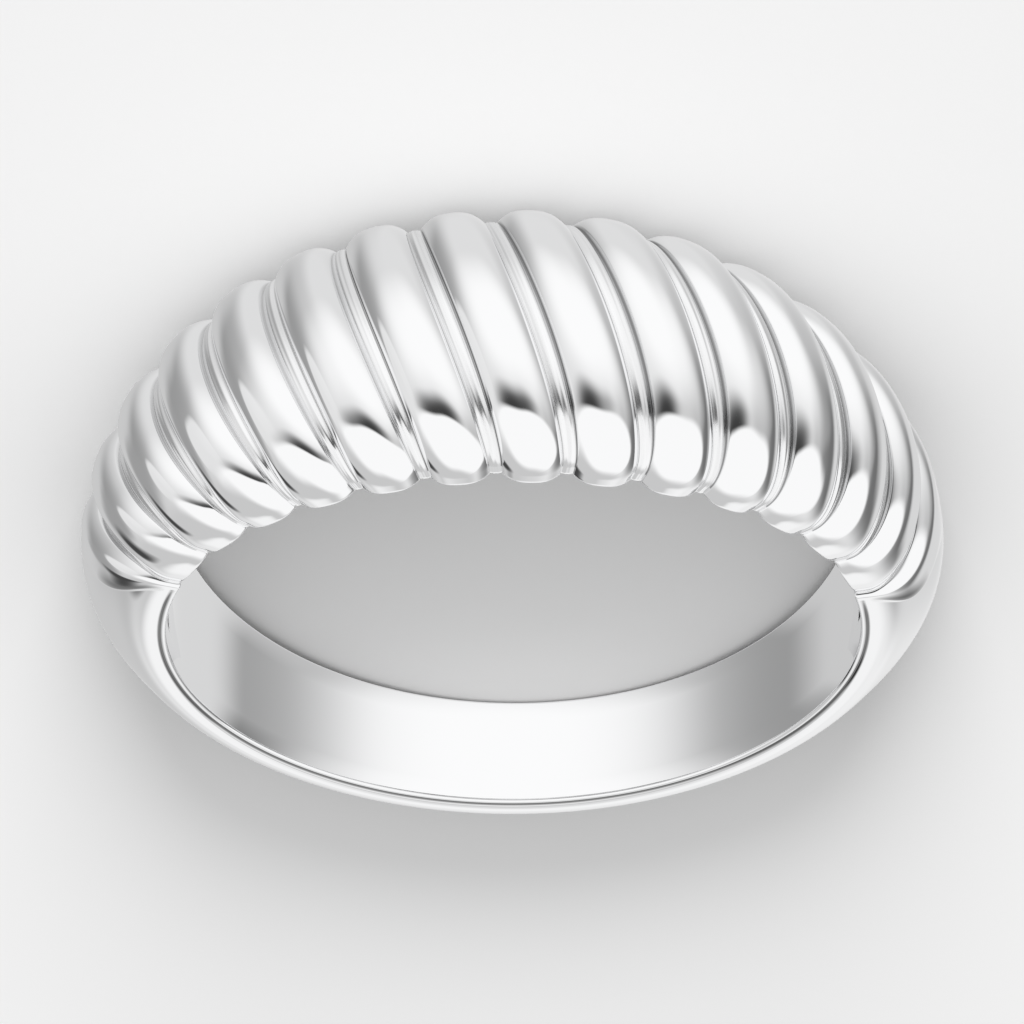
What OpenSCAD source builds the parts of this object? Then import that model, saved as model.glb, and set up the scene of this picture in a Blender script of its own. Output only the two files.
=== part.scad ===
// Chunky domed ring cast in one piece, with slanted ribs over its head.
// It rests on its side: the bore runs near +Z and the head faces -Y.
// The origin is the middle of the bore. All sizes are in millimetres.

/* [Bore] */
// Diameter of the finger hole
bore_d = 17.3; // [15:0.1:21]
// Bevel round each mouth of the hole
mouth_bevel = 0.12; // [0.06:0.02:0.2]

/* [Width along the finger] */
// At the middle of the head
head_w = 7.75; // [6.5:0.05:9]
// At the sides, a quarter turn from the head
side_w = 4.65; // [4:0.05:5.5]
// At the back of the shank
back_w = 3.05; // [2.4:0.05:3.8]

/* [Thickness over the finger] */
// At the middle of the head
head_t = 2.5; // [2:0.05:3.4]
// At the sides
side_t = 2.1; // [1.6:0.05:2.6]
// At the back of the shank
back_t = 1.4; // [1:0.05:1.9]
// Height of the upright wall along each edge of the band
edge_t = 0.35; // [0.25:0.05:0.6]

/* [Ribs] */
// Number of ribs over the head, an odd number
rib_count = 15; // [9:2:15]
// Turn round the finger from one rib to the next, in degrees
rib_pitch = 11.5; // [10:0.1:12]
// Turn of a rib from the middle of the band to its edge, in degrees
rib_slant = 6.2; // [0:0.1:9]
// Height of a rib's arch at the middle of the head
arch_h = 0.28; // [0.2:0.01:0.35]
// How many times higher the arch is at the ends of the head
end_arch = 1.4; // [1:0.05:1.6]
// Squareness of a rib's arch, from round to flat-topped
arch_power = 2.7; // [2:0.1:4]
// Width of the channel between two ribs, as a share of the pitch
channel_share = 0.26; // [0.1:0.02:0.3]
// Width of the middle channels at the band's edges
channel_end = 0.2; // [0.06:0.02:0.24]
// Width of the last channels at the band's edges
last_channel_end = 0.06; // [0.04:0.02:0.2]
// Depth of the channel below the arches
channel_depth = 0.14; // [0.05:0.01:0.2]
// Share of that depth by which the channel's floor rises again to a ridge
floor_rise = 0.5; // [0:0.1:0.8]
// Share of the channel's depth that is left at the band's edges
edge_depth = 0.3; // [0:0.1:1]
// Share of the ribs' height and the channels' depth lost at the rim by the last rib
rim_fall = 0.9; // [0:0.05:1]
// How much narrower the outer half of a last rib is at the band's middle
end_narrow = 0.12; // [0:0.05:0.4]
// How much narrower it is at the band's edges
end_pinch = 0.85; // [0.4:0.05:0.9]

/* [Hidden] */
bore_r = bore_d / 2;
// the skin is closed this far inside the hole and then drilled out
drill_skin = 0.3;
// the channels keep their width over the band's middle and lose it at the edges
channel_power = 3;
pinch_power = 8;
rim_power = 8;
// pitches of the shank over which the last rib's narrowing is taken up
pinch_reach = 4;
// a shoulder of the shank lies below the last rib, whose outer flank falls to
// it steeply
shoulder_fall = 0.22;
end_power = 6;

// Grid of the skin: places across one rib in pitches from its crest, steps
// along the bare shank, and degrees over the section from its crown to an edge.
// The arch ends at the channel's lip, and the channel's wall at its foot.
lip = 0.39;
foot = 0.41;
half_rib = [foot, lip, 0.33, 0.25, 0.13];
rib_places = concat(
    [-0.5],
    -half_rib,
    [0],
    [for (k = [len(half_rib) - 1 : -1 : 0]) half_rib[k]]
);
shank_steps = 28;
half_turns = [11, 22, 33, 43, 52, 60, 68, 76, 83, 90];
half_rows = len(half_turns);
section_turns = concat(
    [for (row = [half_rows : -1 : 1]) half_turns[row - 1]],
    [0],
    [for (row = [1 : half_rows]) -half_turns[row - 1]]
);

// Places round the ring are counted in pitches from the middle of the head.
round_pitches = 360 / rib_pitch;
last_crest = (rib_count - 1) / 2;
last_channel = last_crest - 0.5;
head_end = rib_count / 2;

// The head rises until the ring stands on the head's edge and the shank's.
rest_span = bore_d + mouth_bevel + edge_t;
rest_tilt = atan((head_w - back_w) / 2 / rest_span);

// A size that runs smoothly from the head past the sides to the back.
function blend(head, side, back, turn) =
    (head + 2 * side + back) / 4
    + (head - back) / 2 * cos(turn)
    + (head - 2 * side + back) / 4 * cos(2 * turn);

function half_w(turn) = blend(head_w, side_w, back_w, turn) / 2;

function crown_h(turn) = blend(head_t, side_t, back_t, turn) - edge_t;

// Falls from 1 to 0 as a place goes from one pitch count to another.
function fade(place, from, to) =
    place <= from ? 1 : place >= to ? 0
    : (1 + cos(180 * (place - from) / (to - from))) / 2;

// Height of the arches at a place round the ring.
function arch_at(place) =
    arch_h * (1 + (end_arch - 1) * pow(min(place, head_end) / head_end, 2));

// What is left of the ribs and channels: less towards the rim on the outer ribs.
function left_at_rim(place, over) =
    1 - rim_fall * pow(place / head_end, 2) * pow(abs(sin(over)), rim_power);

// What is left of a channel between the band's middle, 1, and an edge, 0.
function channel_left(across) = 1 - pow(abs(across), channel_power);

// Depth below an arch's lip: down the wall to its foot, then up to the ridge.
function channel_at(off_crest, across) =
    channel_depth * (edge_depth + (1 - edge_depth) * channel_left(across))
    * (off_crest <= lip ? 0
        : off_crest <= foot ? (off_crest - lip) / (foot - lip)
        : 1 - floor_rise * (1 - pow((0.5 - off_crest) / (0.5 - foot), 2)));

// The shank's section falls away between its crown and its edges.
function shoulder(place, over) =
    shoulder_fall * pow(sin(2 * over), 2)
    * fade(place, head_end, round_pitches / 2);

// Depth below the ribs' crests; the last rib falls onto the shoulder.
function sunk(place, over) =
    let (off_crest = abs(place - round(place)))
    place <= last_crest
    ? left_at_rim(place, over)
        * (arch_at(place) * pow(min(off_crest, lip) / lip, arch_power)
            + channel_at(off_crest, sin(over)))
    : shoulder(place, over) * pow(min(1, 2 * (place - last_crest)), end_power);

// A grid place moved so that the channels narrow towards the band's edges.
function beside_channel(place, across) =
    let (
        crest = round(place),
        off_crest = abs(place - crest),
        end = last_channel_end
            + (channel_end - last_channel_end) * fade(place, 0, last_channel),
        half = (end + (channel_share - end) * channel_left(across)) / 2
    )
    place >= head_end ? place
    : crest + sign(place - crest) * (off_crest < lip
        ? off_crest / lip * (0.5 - half)
        : 0.5 - (0.5 - off_crest) / (0.5 - lip) * half);

// Turn round the finger of a grid place: ribs slant, and the last rib on
// each side narrows towards the edges of the band.
function narrowed(place, across) =
    let (lost = end_narrow + (end_pinch - end_narrow) * pow(abs(across), pinch_power))
    place <= last_channel ? place
    : place <= head_end ? last_channel + (place - last_channel) * (1 - lost)
    : place - lost * fade(place, head_end, head_end + pinch_reach);

function turn_of(column, across) =
    let (place = abs(column))
    rib_pitch * sign(column) * narrowed(beside_channel(place, across), across)
    + rib_slant * across * fade(place, head_end, round_pitches / 2);

// A point from its distance to the axis, turn round the axis and height.
function at(reach, turn, height) =
    [-reach * sin(turn), -reach * cos(turn), height];

// A point on the outside: on the crown's ellipse, sunk along its normal.
function outside(column, over) =
    let (
        across = sin(over),
        turn = turn_of(column, across),
        wide = half_w(turn),
        high = crown_h(turn),
        low = sunk(abs(column), over),
        out = [wide * cos(over), high * sin(over)],
        normal = out / norm(out)
    )
    at(
        bore_r + edge_t + high * cos(over) - low * normal[0],
        turn,
        wide * across - low * normal[1]
    );

// A point on or under an edge: inset is its distance in from the mouth's rim.
function under_edge(column, face, inset) =
    let (
        turn = turn_of(column, face),
        rim = half_w(turn) - sunk(abs(column), face * 90)
    )
    at(bore_r + mouth_bevel - inset, turn, face * (rim - inset));

// One closed loop of the skin, from the front edge over the crown and back
// through the hole.
function section(column) =
    [
        for (over = section_turns) outside(column, over),
        under_edge(column, -1, 0),
        under_edge(column, -1, mouth_bevel + drill_skin),
        under_edge(column, 1, mouth_bevel + drill_skin),
        under_edge(column, 1, 0)
    ];

// Columns of the grid in pitches: over the ribs, then round the shank, where
// the far half is counted back from the head's other end.
rib_columns = [
    for (rib = [-last_crest : last_crest]) for (place = rib_places) rib + place
];
bare_step = (round_pitches - rib_count) / shank_steps;
shank_columns = [
    for (step = [0 : shank_steps - 1])
        let (place = head_end + step * bare_step)
        place > round_pitches / 2 ? place - round_pitches : place
];
columns = concat(rib_columns, shank_columns);
loop_size = len(section_turns) + 4;

module skin() {
    points = [for (column = columns) each section(column)];
    count = len(columns);
    faces = [
        for (c = [0 : count - 1]) for (r = [0 : loop_size - 1])
            let (
                here = c * loop_size,
                next = ((c + 1) % count) * loop_size,
                up = (r + 1) % loop_size
            )
            each [
                [here + r, next + r, next + up],
                [here + r, next + up, here + up]
            ]
    ];
    polyhedron(points = points, faces = faces, convexity = 8);
}

module ring() {
    color("silver")
        rotate([-rest_tilt, 0, 0])
            difference() {
                skin();
                cylinder(h = head_w + 2, r = bore_r, center = true, $fn = 96);
            }
}

ring();
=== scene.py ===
import math

import bpy
from mathutils import Matrix, Vector


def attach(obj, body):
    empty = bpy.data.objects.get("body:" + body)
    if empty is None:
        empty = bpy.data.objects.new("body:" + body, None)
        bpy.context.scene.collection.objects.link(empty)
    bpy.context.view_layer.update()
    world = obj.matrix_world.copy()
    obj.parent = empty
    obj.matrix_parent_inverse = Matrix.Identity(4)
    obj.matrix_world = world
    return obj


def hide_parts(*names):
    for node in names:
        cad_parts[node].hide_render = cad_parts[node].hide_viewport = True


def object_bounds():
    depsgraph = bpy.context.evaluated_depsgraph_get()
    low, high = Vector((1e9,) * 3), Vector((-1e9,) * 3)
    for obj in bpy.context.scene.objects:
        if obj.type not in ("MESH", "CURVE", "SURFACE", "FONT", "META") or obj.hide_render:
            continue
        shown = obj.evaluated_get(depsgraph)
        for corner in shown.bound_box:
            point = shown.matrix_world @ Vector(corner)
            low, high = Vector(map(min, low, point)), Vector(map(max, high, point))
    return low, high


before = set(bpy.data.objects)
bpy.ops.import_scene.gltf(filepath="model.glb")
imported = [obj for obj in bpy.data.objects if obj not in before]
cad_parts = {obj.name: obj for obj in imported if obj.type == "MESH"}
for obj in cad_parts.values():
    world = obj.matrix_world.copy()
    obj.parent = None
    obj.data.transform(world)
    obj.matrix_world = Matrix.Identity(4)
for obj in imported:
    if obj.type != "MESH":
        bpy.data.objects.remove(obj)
cad_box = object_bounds()

# The ring: one casting of sterling silver, filed, burnished in its channels
# and polished all over on a soft wheel. Its skin starts as one flat sheet of
# faces that is wrapped round the finger, a column of points at each turn.
MM = 0.001  # sizes are in millimetres
bore_r = 17.3 / 2
head, sides, back = (7.75, 2.5), (4.65, 2.1), (3.05, 1.4)  # width, thickness
edge_wall, mouth_bevel = 0.35, 0.12  # the bevel is the solid's, and sets how the ring lies
rim_round = 0.08
crease_at, crease_half_wide, crease_deep = 0.17, 0.065, 0.045
rib_count, rib_pitch, rib_slant = 15, 11.5, 6.2  # the last two in degrees
arch_h, end_arch, arch_power = 0.28, 1.4, 2.7
rim_fall, rim_power = 0.9, 8
channel_share, mid_channel_end, last_channel_end = 0.26, 0.2, 0.06  # in pitches
channel_depth, channel_power, edge_depth, floor_rise = 0.14, 3, 0.3, 0.6
floor_ripple, ripple_waves = 0.12, 1.5
shoulder_fall, end_power = 0.22, 6
end_narrow, end_pinch, pinch_power, pinch_reach = 0.12, 0.85, 8, 4

# places round the ring are in pitches, from one rib to the next, off the head's middle
lip, foot = 0.39, 0.404  # where a channel's wall starts and ends
last_crest = (rib_count - 1) / 2
last_channel = last_crest - 0.5
head_end = rib_count / 2
crease_start, crease_full = head_end - 0.3, head_end + 0.5
round_pitches = 360 / rib_pitch

# the ring lies on the head's edge and the shank's, which leans the hole's axis
rest_lean = math.atan((head[0] - back[0]) / 2 / (2 * bore_r + mouth_bevel + edge_wall))


def blend(which, turn):
    # a width, 0, or a thickness, 1, that runs from the head past the sides to the back
    at_head, at_sides, at_back = head[which], sides[which], back[which]
    return ((at_head + 2 * at_sides + at_back) / 4
            + (at_head - at_back) / 2 * math.cos(turn)
            + (at_head - 2 * at_sides + at_back) / 4 * math.cos(2 * turn))


def fade(place, start, stop):
    # falls from 1 to 0 between two places
    share = min(1, max(0, (place - start) / (stop - start)))
    return (1 + math.cos(math.pi * share)) / 2


def channel_left(across):
    # what is left of a channel between the band's middle, 1, and an edge, 0
    return 1 - abs(across) ** channel_power


def channel(off_crest, across):
    # depth below the arch's lip: down the wall, then up to a rippled ridge
    if off_crest <= lip:
        return 0
    deep = channel_depth * (edge_depth + (1 - edge_depth) * channel_left(across))
    if off_crest <= foot:
        return deep * (off_crest - lip) / (foot - lip)
    side = (0.5 - off_crest) / (0.5 - foot)
    ripple = floor_ripple * math.sin(math.pi * ripple_waves * side) ** 2
    return deep * (1 - floor_rise * (1 - side ** 2) - ripple)


def sunk(place, over):
    # depth below the ribs' crests, which is less towards the rim on the outer ribs
    if place <= last_crest:
        off_crest = abs(place - round(place))
        outwards = (place / head_end) ** 2
        arch = arch_h * (1 + (end_arch - 1) * outwards)
        left = 1 - rim_fall * outwards * math.sin(over) ** rim_power
        return left * (arch * (min(off_crest, lip) / lip) ** arch_power
                       + channel(off_crest, math.sin(over)))
    shoulder = (shoulder_fall * math.sin(2 * over) ** 2
                * fade(place, head_end, round_pitches / 2))
    return shoulder * min(1, 2 * (place - last_crest)) ** end_power


def beside_channel(place, across):
    # the channels narrow towards the band's edges, most on the outer ribs
    if place >= head_end:
        return place
    crest = round(place)
    off_crest = abs(place - crest)
    end = last_channel_end + (mid_channel_end - last_channel_end) * fade(place, 0, last_channel)
    half = (end + (channel_share - end) * channel_left(across)) / 2
    if off_crest < lip:
        moved = off_crest / lip * (0.5 - half)
    else:
        moved = 0.5 - (0.5 - off_crest) / (0.5 - lip) * half
    return crest + math.copysign(moved, place - crest)


def turn_of(column, across):
    # the ribs slant, and the last one on each side narrows towards the band's edges
    place = beside_channel(abs(column), across)
    lost = end_narrow + (end_pinch - end_narrow) * abs(across) ** pinch_power
    if place <= last_channel:
        kept = place
    elif place <= head_end:
        kept = last_channel + (place - last_channel) * (1 - lost)
    else:
        kept = place - lost * fade(place, head_end, head_end + pinch_reach)
    slant = rib_slant * across * fade(abs(column), head_end, round_pitches / 2)
    return math.radians(rib_pitch * math.copysign(kept, column) + slant)


def at(reach, turn, height):
    # a point in metres, from its distance to the hole's axis, its turn and its height
    return Vector((-reach * math.sin(turn), -reach * math.cos(turn), height)) * MM


def on_crown(column, over):
    # on the crown's ellipse, sunk along its normal
    across = math.sin(over)
    turn = turn_of(column, across)
    wide, high = blend(0, turn) / 2, blend(1, turn) - edge_wall
    low = sunk(abs(column), over)
    out = Vector((wide * math.cos(over), high * across)).normalized()
    return at(bore_r + edge_wall + high * math.cos(over) - low * out.x,
              turn, wide * across - low * out.y)


def in_crease(column, inset):
    # 1 at the bottom of the fine crease round the hole, which starts at the last ribs
    return (max(0, 1 - abs(inset - crease_at) / crease_half_wide)
            * (1 - fade(abs(column), crease_start, crease_full)))


def on_rim(column, face, inset):
    # rounded into the hole, and creased round the shank
    turn = turn_of(column, face)
    rim = blend(0, turn) / 2 - sunk(abs(column), face * math.pi / 2)
    drop = rim_round - math.sqrt(rim_round ** 2 - max(0, rim_round - inset) ** 2)
    return at(bore_r + inset, turn, face * (rim - drop - crease_deep * in_crease(column, inset)))


def in_bore(column, share):
    # share runs from 1 at the top mouth to -1 at the bottom one
    turn = turn_of(column, share)
    top = blend(0, turn_of(column, 1)) / 2 - sunk(abs(column), math.pi / 2) - rim_round
    low = blend(0, turn_of(column, -1)) / 2 - sunk(abs(column), math.pi / 2) - rim_round
    height = (top - low) / 2 + share * (top + low) / 2
    return at(bore_r, turn, height)


def even(start, stop, steps):
    # evenly spaced places from start on, without stop
    return [start + (stop - start) * k / steps for k in range(steps)]


# columns stand closer together at a channel's lips, and rows towards the band's edges
half_rib = even(0, 0.36, 12) + even(0.36, lip, 3) + even(lip, foot, 3) + even(foot, 0.5, 7) + [0.5]
across_rib = [-place for place in reversed(half_rib)] + half_rib[1:-1]
shank_columns, crown_rows, bore_rows = 180, 64, 6
columns = [rib - last_crest + place for rib in range(rib_count) for place in across_rib]
columns += [place if place <= round_pitches / 2 else place - round_pitches
            for place in even(head_end, round_pitches - head_end, shank_columns)]

edge_gather = math.radians(7)
rim_insets = (0.32, 0.28, 0.24, 0.22, 0.2, 0.185, 0.17, 0.155, 0.14, 0.12, 0.075, 0.05, 0.025, 0.008)
rows = [(on_crown, math.pi / 2 * share + edge_gather * math.sin(math.pi * share))
        for share in even(1, -1, crown_rows) + [-1]]
rows += [(on_rim, -1, inset) for inset in rim_insets]
rows += [(in_bore, share) for share in even(-1, 1, bore_rows) + [1]]
rows += [(on_rim, 1, inset) for inset in reversed(rim_insets)]

# painted shade: the crease round the hole, the channels' corners and the last ribs' outer flanks are
# darkened in the silver's colour
crease_dark = 1.7
dark_reach, faint_reach, faint = 0.018, 0.012, 0.5
reach_gain = 0.001  # for each pitch towards the picture's left
flank_reach, flank_foot = 0.22, head_end - 0.03
tip_over, tip_reach = 1.1, 0.45  # in radians off the crown


def shade_painted_at(column, make, *where):
    # how much shade is painted on a point, from 0 to 1
    if make is on_rim:
        return min(1, crease_dark * in_crease(column, where[1]))
    if make is in_bore or abs(column) > flank_foot:
        return 0
    if abs(column) >= last_crest:
        # a dark reflection is painted on the last ribs' outer flanks near their tips
        down_flank = min(1, (abs(column) - last_crest) / flank_reach)
        beside_tip = abs(abs(where[0]) - tip_over) / tip_reach
        return down_flank * max(0, 1 - beside_tip ** 2)
    # painted shade: one corner of each channel is darker than the other, from the side the light falls
    # on
    off_crest = column - round(column)
    if off_crest < 0:
        reach, dark = dark_reach - reach_gain * column, 1
    else:
        reach, dark = faint_reach, faint
    return dark * max(0, 1 - abs(abs(off_crest) - foot) / reach)


def on_channel_floor(column, make):
    # 1 on a channel's floor, 0 on the arches, the rims and the shank
    if make is not on_crown or abs(column) >= last_crest:
        return 0
    return min(1, max(0, (abs(column - round(column)) - lip) / (foot - lip)))


bpy.ops.object.select_all(action="DESELECT")
bpy.ops.mesh.primitive_grid_add(x_subdivisions=len(columns), y_subdivisions=len(rows), size=1)
ring = bpy.context.object
ring.name = ring.data.name = "silver_ring"
lean = Matrix.Rotation(-rest_lean, 3, "X")
wrapped = [[lean @ make(column, *where) for make, *where in rows] for column in columns]
# the mask of painted shade, and the mask of the channels' floors
painted_shade = ring.data.attributes.new("painted_shade", "FLOAT", "POINT")
on_floor = ring.data.attributes.new("on_floor", "FLOAT", "POINT")
for v in ring.data.vertices:
    # the sheet's last column and row fall on its first ones
    c = round((v.co.x + 0.5) * len(columns)) % len(columns)
    r = round((v.co.y + 0.5) * len(rows)) % len(rows)
    v.co = wrapped[c][r]
    painted_shade.data[v.index].value = shade_painted_at(columns[c], *rows[r])
    on_floor.data[v.index].value = on_channel_floor(columns[c], rows[r][0])
bpy.ops.object.mode_set(mode="EDIT")
bpy.ops.mesh.select_all(action="SELECT")
bpy.ops.mesh.remove_doubles(threshold=0.001 * MM)
bpy.ops.mesh.normals_make_consistent(inside=False)
bpy.ops.object.mode_set(mode="OBJECT")
bpy.ops.object.shade_smooth()

silver = bpy.data.materials.new("polished_silver")
silver.use_nodes = True
nodes, links = silver.node_tree.nodes, silver.node_tree.links
shader = nodes["Principled BSDF"]
shader.inputs["Metallic"].default_value = 1


def made(kind, *inputs, **settings):
    # a new node among those that nodes and links name, fed by sockets or plain values
    new = nodes.new("ShaderNode" + kind)
    for name, value in settings.items():
        setattr(new, name, value)
    for slot, value in enumerate(inputs):
        if hasattr(value, "is_linked"):
            links.new(value, new.inputs[slot])
        elif value is not None:
            new.inputs[slot].default_value = value
    return new


def math_of(operation, *inputs):
    return made("Math", *inputs, operation=operation).outputs[0]


def speckle(vector, scale, detail=2.0):
    return made("TexNoise", vector, None, scale, detail).outputs["Fac"]


# clean silver, with shade painted dark into the crease round the hole, the channels' corners and the
# last ribs' outer flanks, and faint burnishing streaks along the channels
clean, shade_and_streak_dark = (0.945, 0.947, 0.953, 1), (0.1, 0.1, 0.1, 1)
corner_shade_strength, streak_dull = 0.9, 0.08
fine_across, long_along = 230, 5
coordinates = made("TexCoord").outputs
# the painted shade in the crease, the channels' corners and the last ribs' flanks
corner = made("Attribute", attribute_name="painted_shade").outputs["Fac"]
floor = made("Attribute", attribute_name="on_floor").outputs["Fac"]
along_channel = made("Mapping", coordinates["UV"], None, None, (fine_across, long_along, 1)).outputs[0]
streak = made("MapRange", speckle(along_channel, 1.0, 3.0), 0.38, 0.62, 0.0, 1.0).outputs[0]
dull_floor = math_of("MULTIPLY", floor, streak)
# the painted shade and the burnishing streaks darken the silver's colour together
shade_and_streaks = math_of("MAXIMUM", math_of("MULTIPLY", corner, corner_shade_strength),
                  math_of("MULTIPLY", dull_floor, streak_dull))
tone = made("Mix", shade_and_streaks, data_type="RGBA")
tone.inputs[6].default_value = clean
tone.inputs[7].default_value = shade_and_streak_dark
links.new(tone.outputs[2], shader.inputs["Base Color"])

# nearly a mirror, hazier on the channels' floors, with the wheel's very low waves
mirror, haze_rough, floor_rough, streak_rough = 0.015, 0.03, 0.1, 0.08
haze_scale, wave_scale, wave_h = 350, 700, 0.001
haze = speckle(coordinates["Object"], haze_scale)
polish = math_of("MULTIPLY_ADD", haze, haze_rough, mirror)
polish = math_of("MULTIPLY_ADD", floor, floor_rough, polish)
polish = math_of("MULTIPLY_ADD", dull_floor, streak_rough, polish)
links.new(polish, shader.inputs["Roughness"])
waves = made("Bump", 1.0, wave_h * MM)
links.new(speckle(coordinates["Object"], wave_scale, 1.0), waves.inputs["Height"])
links.new(waves.outputs["Normal"], shader.inputs["Normal"])
ring.data.materials.append(silver)
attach(ring, "root")
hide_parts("ring")

# The table: a sheet of pale matt card that the ring lies on. It is kept out
# of the silver, which shows the studio alone.
table_wide = 4  # in metres
bpy.ops.object.select_all(action="DESELECT")
bpy.ops.mesh.primitive_plane_add(size=table_wide, location=(0, 0, cad_box[0].z))
table = bpy.context.object
table.name = "pale_table"
bpy.ops.object.transform_apply(location=True, rotation=True, scale=True)
card = bpy.data.materials.new("pale_card")
card.use_nodes = True
paper = card.node_tree.nodes["Principled BSDF"]
paper.inputs["Base Color"].default_value = (0.86, 0.86, 0.86, 1)
paper.inputs["Roughness"].default_value = 1
paper.inputs["Specular IOR Level"].default_value = 0
table.data.materials.append(card)
table.visible_glossy = False

# The studio round the table: pale walls with soft oval panels and dark cloths
# hung on them, each laid over the ones before it. Only the silver shows them:
# the camera sees a plain pale wall, and the table has a light of its own.
world = bpy.data.worlds.new("studio")
bpy.context.scene.world = world
world.use_nodes = True
world.cycles.sampling_method = "NONE"
nodes, links = world.node_tree.nodes, world.node_tree.links
nodes.clear()
towards = made("TexCoord").outputs["Generated"]


def along(direction):
    return made("VectorMath", towards, direction, operation="DOT_PRODUCT").outputs["Value"]


def hung(light, azimuth, elevation, half_wide, half_high, softness, brightness, roll):
    # angles are in degrees, azimuth from 0 in front of the head by 90 on the +X side
    a, e = math.radians(azimuth), math.radians(elevation)
    ahead = Vector((math.sin(a) * math.cos(e), -math.cos(a) * math.cos(e), math.sin(e)))
    turned = Matrix.Rotation(math.radians(roll), 3, ahead)
    right = turned @ Vector((math.cos(a), math.sin(a), 0))
    x = along(right / math.sin(math.radians(half_wide)))
    y = along(ahead.cross(right) / math.sin(math.radians(half_high)))
    out = math_of("MULTIPLY_ADD", x, x, math_of("MULTIPLY", y, y))
    inside = made("MapRange", out, (1 + softness) ** 2, (1 - softness) ** 2,
                  interpolation_type="SMOOTHSTEP").outputs[0]
    # seen along its axis a sheet would show on the wall opposite too, so that one is left out
    facing = made("MapRange", along(ahead), 0.0, 0.15, interpolation_type="SMOOTHSTEP").outputs[0]
    cover = math_of("MULTIPLY", inside, facing)
    return math_of("MULTIPLY_ADD", cover, math_of("SUBTRACT", brightness, light), light)


pale_walls = 0.76
hangings = (
    # azimuth, elevation, half width, half height, softness, brightness, roll
    (-172, 4, 28, 34, 0.5, 0.90, 10),  # bright panel behind the shank
    (110, -32, 32, 24, 0.9, 0.33, 0),  # dark cloth, low on the +X side
    (138, -38, 16, 22, 0.7, 0.60, -45),  # its paler fold
    (-84, -15, 24, 38, 0.7, 0.5, -20),  # grey cloth on the -X side
    (-116, -5, 33, 26, 0.5, 0.17, -20),  # dark cloth further back
    (-134, -26, 22, 26, 0.35, 0.7, -45),  # its paler fold
    (80, 6, 18, 24, 0.12, 0.80, 0),  # pale panel on the +X side
    (14, 37.5, 30, 12.5, 0.8, 0.05, 0),  # dark gap between the front and overhead panels
    (-5, -15, 48, 27, 0.5, 1.02, 3),  # big white panel in front
    (-90, 87.5, 53, 73, 0.03, 1.0, 0),  # big white panel overhead
    (150, 30, 44, 26, 0.3, 0.6, 0),  # grey cloth, high behind the shank
    (114, -14, 11, 14, 0.8, 0.35, 0),  # small dark cloth on the +X side
    (134, 3, 7, 15, 0.5, 0.06, -35),  # narrow black cloth beside it
    (178, 14, 15, 10, 0.6, 0.95, 0),  # small white panel behind the shank
)
light = pale_walls
for hanging in hangings:
    light = hung(light, *hanging)

# the table is lit most from above the head's side, and less by way of the silver
plain_wall = (0.88, 0.88, 0.88, 1)
above_head_side = Vector((0.0, -0.8, 0.6))
dim_side, bright_side = 0.05, 1.25
for_silver = made("Background", light, 1.0).outputs[0]
for_camera = made("Background", plain_wall, 1.0).outputs[0]
ray = made("LightPath").outputs
from_head = made("MapRange", along(above_head_side), -0.2, 1.0, dim_side, bright_side).outputs[0]
by_way_of_silver = math_of("MULTIPLY_ADD", ray["Is Glossy Ray"], -0.3, 1.05)
for_table = made("Background", from_head, by_way_of_silver).outputs[0]
off_table = math_of("GREATER_THAN", ray["Diffuse Depth"], 0.5)
lit = made("MixShader", off_table, for_silver, for_table).outputs[0]
lit = made("MixShader", ray["Is Camera Ray"], lit, for_camera).outputs[0]
made("OutputWorld", lit)

# The lamp: one big soft light, low in front of the head, which throws the
# ring's shadow onto the table past the shank. The silver doesn't show it.
lamp = bpy.data.lights.new("soft_lamp", "SUN")
lamp.energy = 3.4
lamp.angle = math.radians(24)
lamp_stand = bpy.data.objects.new("soft_lamp", lamp)
bpy.context.scene.collection.objects.link(lamp_stand)
lamp_stand.visible_glossy = False
shines_from = Vector((-0.06, -0.9, 0.28))
lamp_stand.rotation_euler = shines_from.to_track_quat("Z", "Y").to_euler()

# The camera: a long lens on a stand above the head's side, rolled half a turn
# so that the head is at the top of the picture.
off_axis, off_middle = math.radians(55), math.radians(3.3)  # the hole's, and the head's
away = 450
picture_pixels, pixels_per_mm, sensor = 1024, 40.03, 36
middle_right, middle_up = -1.5, 44.5  # of the picture, in its pixels off the hole's middle
to_camera = lean @ Vector((-math.sin(off_axis) * math.sin(off_middle),
                           -math.sin(off_axis) * math.cos(off_middle),
                           math.cos(off_axis)))
to_right = lean @ Vector((-math.cos(off_middle), math.sin(off_middle), 0))
to_top = to_camera.cross(to_right)
lens = bpy.data.cameras.new("lens")
lens.sensor_width = sensor
lens.lens = pixels_per_mm * away / picture_pixels * sensor
lens.clip_start, lens.clip_end = 0.01, 10
camera = bpy.data.objects.new("camera", lens)
bpy.context.scene.collection.objects.link(camera)
aim = Matrix((to_right, to_top, to_camera)).transposed().to_4x4()
aim.translation = (to_camera * away + to_top * (middle_up / pixels_per_mm)
                   + to_right * (middle_right / pixels_per_mm)) * MM
camera.matrix_world = aim
bpy.context.scene.camera = camera
bpy.context.scene.view_settings.view_transform = "Standard"
